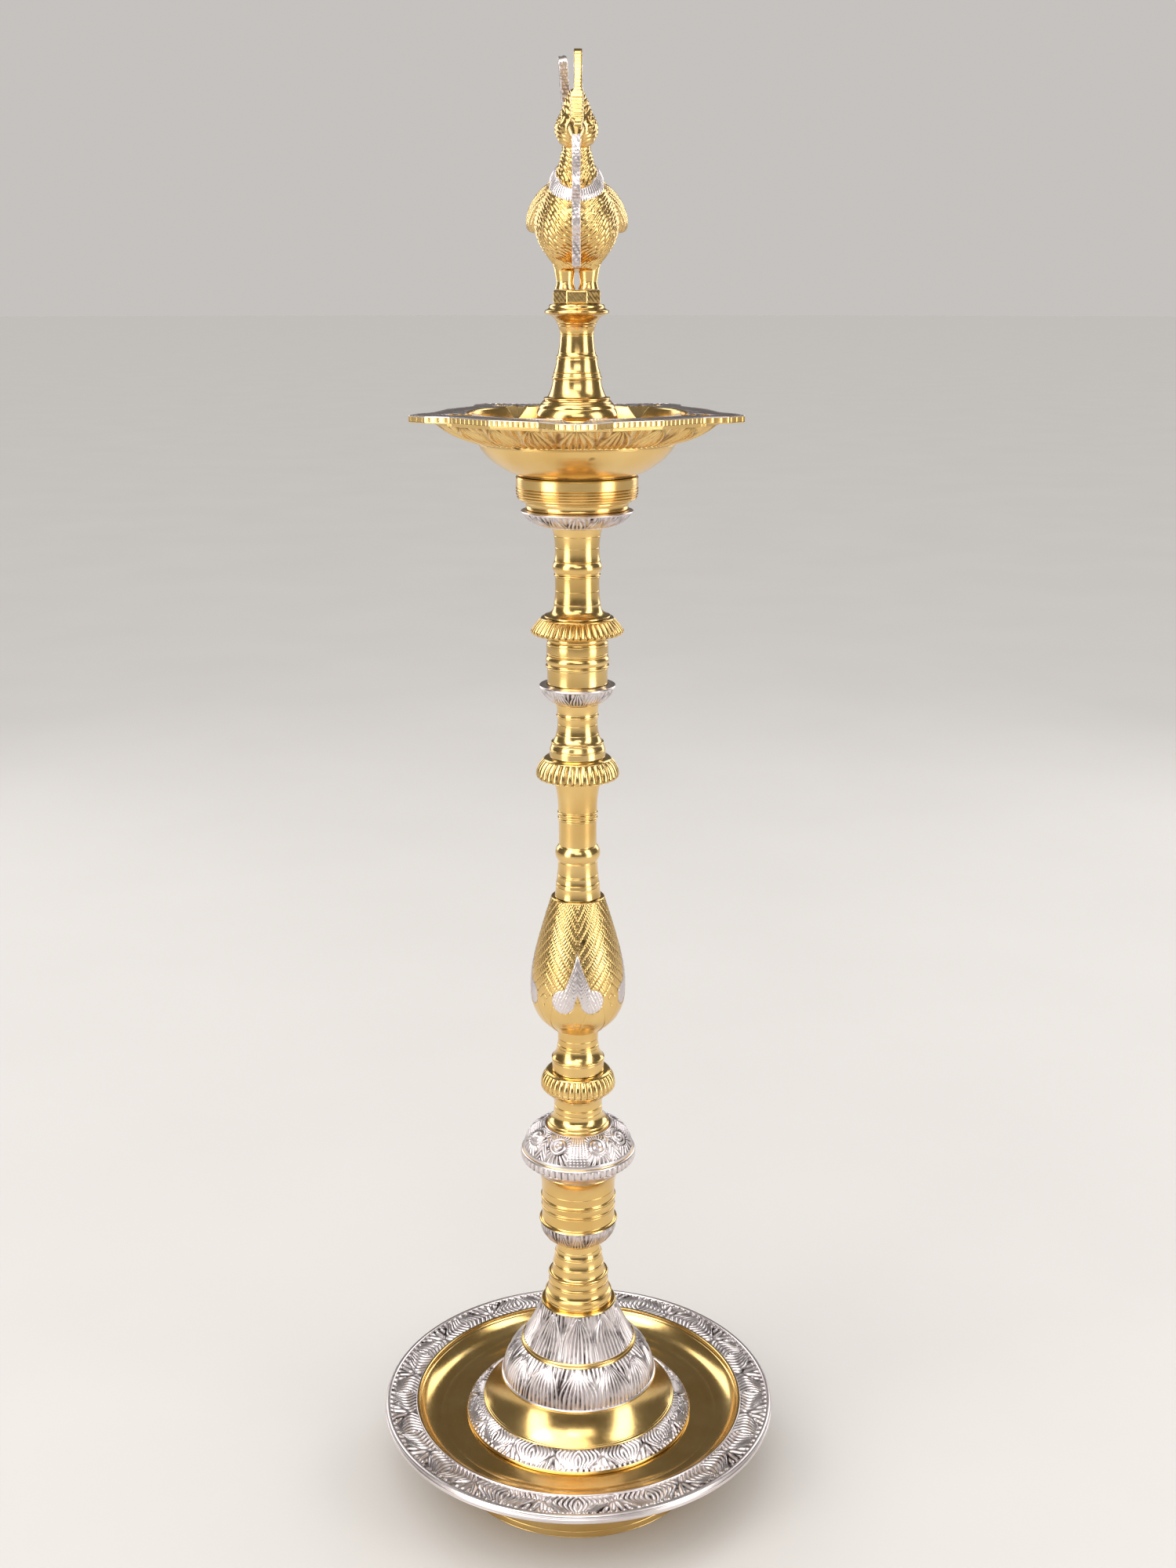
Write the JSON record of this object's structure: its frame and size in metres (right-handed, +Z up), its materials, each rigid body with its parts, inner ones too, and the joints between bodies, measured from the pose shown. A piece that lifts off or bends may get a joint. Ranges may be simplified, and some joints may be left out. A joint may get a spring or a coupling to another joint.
{
  "type": "standing oil lamp",
  "caption": "Tall standing oil lamp: a footed drip tray, bell pedestal, turned and ribbed stem, a spouted oil pan for wicks and a bird finial.",
  "frame": {"origin": "centre of the foot ring on the floor", "axes": "+Z up along the stem; the bird and one spout face -Y; +X is the viewer's right when facing the bird"},
  "size_m": [0.2648, 0.2648, 0.9139],
  "materials": {
    "polished_brass": "polished, turned",
    "cast_brass": "cast and chased",
    "silvered_brass": "silvered relief with dark recesses",
    "steel": "plain"
  },
  "bodies": {
    "base": {"foot_ring": "polished_brass", "base_tray": "polished_brass", "base_pedestal": "silvered_brass", "pedestal_tie_bolt": "steel", "tie_bolt_washer": "steel", "pedestal_neck": "polished_brass", "lower_cup": "polished_brass"},
    "lower_collar": {"scroll_collar": "silvered_brass"},
    "lower_stem": {"waist_spool": "polished_brass", "lower_ribbed_collar": "polished_brass", "lower_neck": "polished_brass", "engraved_bulb": "cast_brass", "bulb_neck": "polished_brass"},
    "middle_collar": {"middle_ribbed_collar": "polished_brass"},
    "upper_stem": {"middle_spool": "polished_brass", "middle_petal_collar": "silvered_brass", "middle_drum": "polished_brass", "upper_ribbed_disc": "polished_brass", "upper_spool": "polished_brass"},
    "pan_seat": {"pan_petal_collar": "silvered_brass", "pan_seat_ring": "polished_brass"},
    "pan": {"oil_pan": "cast_brass", "pan_cone": "polished_brass"},
    "finial_ring": {"finial_flange": "polished_brass"},
    "finial": {"finial_plinth": "cast_brass", "finial_stud": "steel", "peacock_body": "cast_brass", "peacock_crest": "cast_brass", "beak_garland": "silvered_brass", "neck_band": "silvered_brass", "peacock_tail": "cast_brass", "left_wing": "cast_brass", "right_wing": "cast_brass"}
  },
  "joints": [
    {"name": "lower_collar_lift", "type": "slide", "parent": "base", "child": "lower_collar", "axis": [0, 0, 1], "range_m": [0, 0.01]},
    {"name": "lower_stem_screw", "type": "hinge", "parent": "lower_collar", "child": "lower_stem", "pos_m": [0, 0, 0.2538], "axis": [0, 0, 1], "range_deg": [0, 1800]},
    {"name": "middle_collar_lift", "type": "slide", "parent": "lower_stem", "child": "middle_collar", "axis": [0, 0, 1], "range_m": [0, 0.01]},
    {"name": "upper_stem_screw", "type": "hinge", "parent": "middle_collar", "child": "upper_stem", "pos_m": [0, 0, 0.5048], "axis": [0, 0, 1], "range_deg": [0, 1800]},
    {"name": "pan_seat_lift", "type": "slide", "parent": "upper_stem", "child": "pan_seat", "axis": [0, 0, 1], "range_m": [0, 0.01]},
    {"name": "pan_screw", "type": "hinge", "parent": "pan_seat", "child": "pan", "pos_m": [0, 0, 0.6772], "axis": [0, 0, 1], "range_deg": [0, 1800]},
    {"name": "finial_ring_lift", "type": "slide", "parent": "pan", "child": "finial_ring", "axis": [0, 0, 1], "range_m": [0, 0.009]},
    {"name": "finial_screw", "type": "hinge", "parent": "finial_ring", "child": "finial", "pos_m": [0, 0, 0.7634], "axis": [0, 0, 1], "range_deg": [0, 1620]}
  ],
  "couplings": [
    {"joint": "lower_collar_lift", "follows": "lower_stem_screw", "m_per_rad": 0.0003183},
    {"joint": "middle_collar_lift", "follows": "upper_stem_screw", "m_per_rad": 0.0003183},
    {"joint": "pan_seat_lift", "follows": "pan_screw", "m_per_rad": 0.0003183},
    {"joint": "finial_ring_lift", "follows": "finial_screw", "m_per_rad": 0.0003183}
  ]
}
